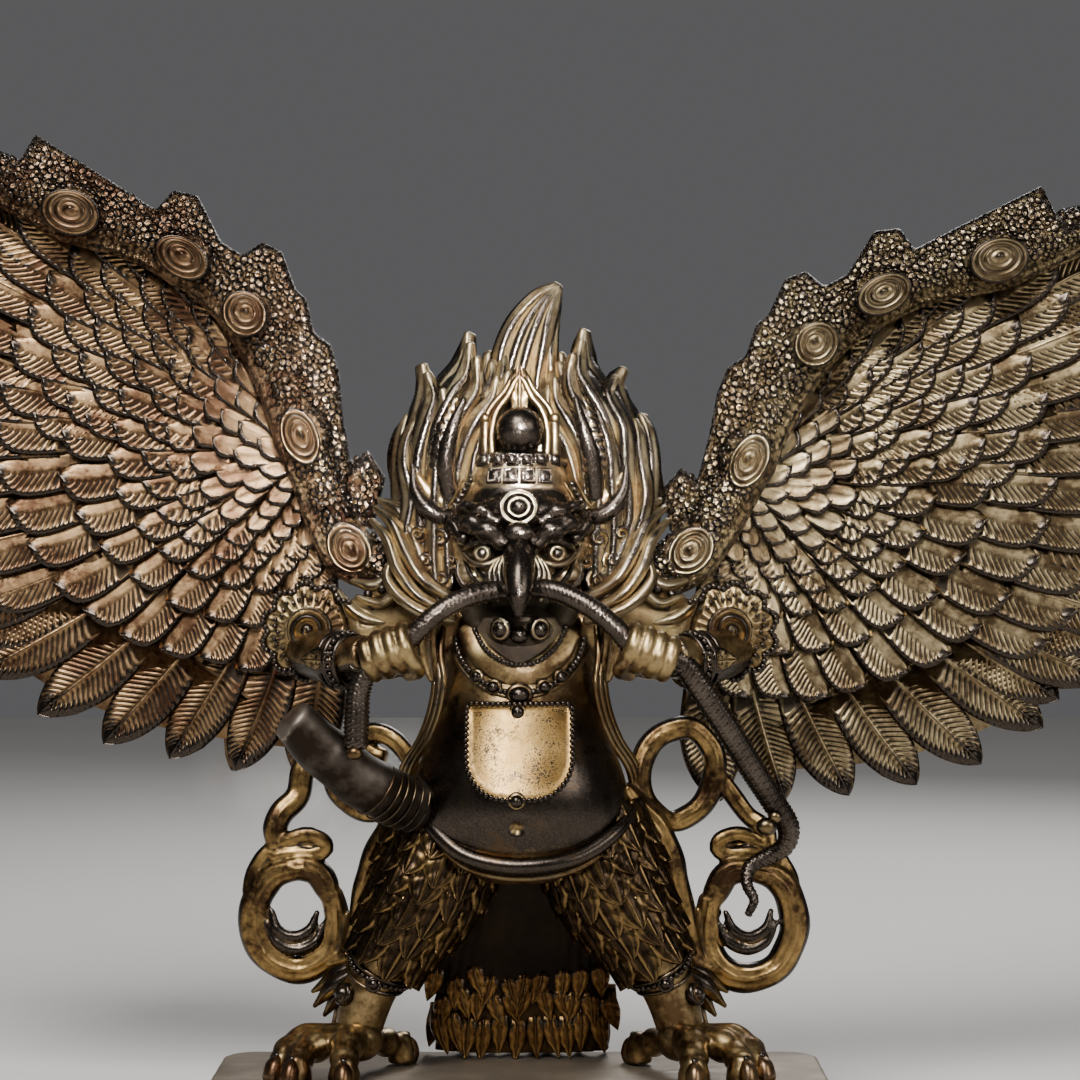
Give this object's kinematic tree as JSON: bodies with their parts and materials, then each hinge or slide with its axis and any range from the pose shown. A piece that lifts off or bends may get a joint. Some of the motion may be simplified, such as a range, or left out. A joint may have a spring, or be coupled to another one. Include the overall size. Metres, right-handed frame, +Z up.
{
  "type": "garuda figure",
  "caption": "Gilt bronze winged bird-headed guardian on a low plinth, wings spread, gripping a serpent in beak and fists.",
  "frame": {"origin": "centre of the plinth's underside", "axes": "+Z up, -Y the way the figure looks, +X towards the figure's left hand"},
  "size_m": [0.6306, 0.1196, 0.4706],
  "materials": {
    "gilt_bronze": "worn gilding over dark bronze",
    "red_gilt_bronze": "worn gilding, reddish brown",
    "olive_gilt_bronze": "worn gilding, olive gold",
    "dark_metal": "dark polished metal",
    "grey_bronze": "dull grey brown metal"
  },
  "bodies": {
    "root": {"plinth": "grey_bronze", "garuda_body": "gilt_bronze", "right_wing": "red_gilt_bronze", "left_wing": "olive_gilt_bronze", "snake": "dark_metal"}
  },
  "joints": []
}
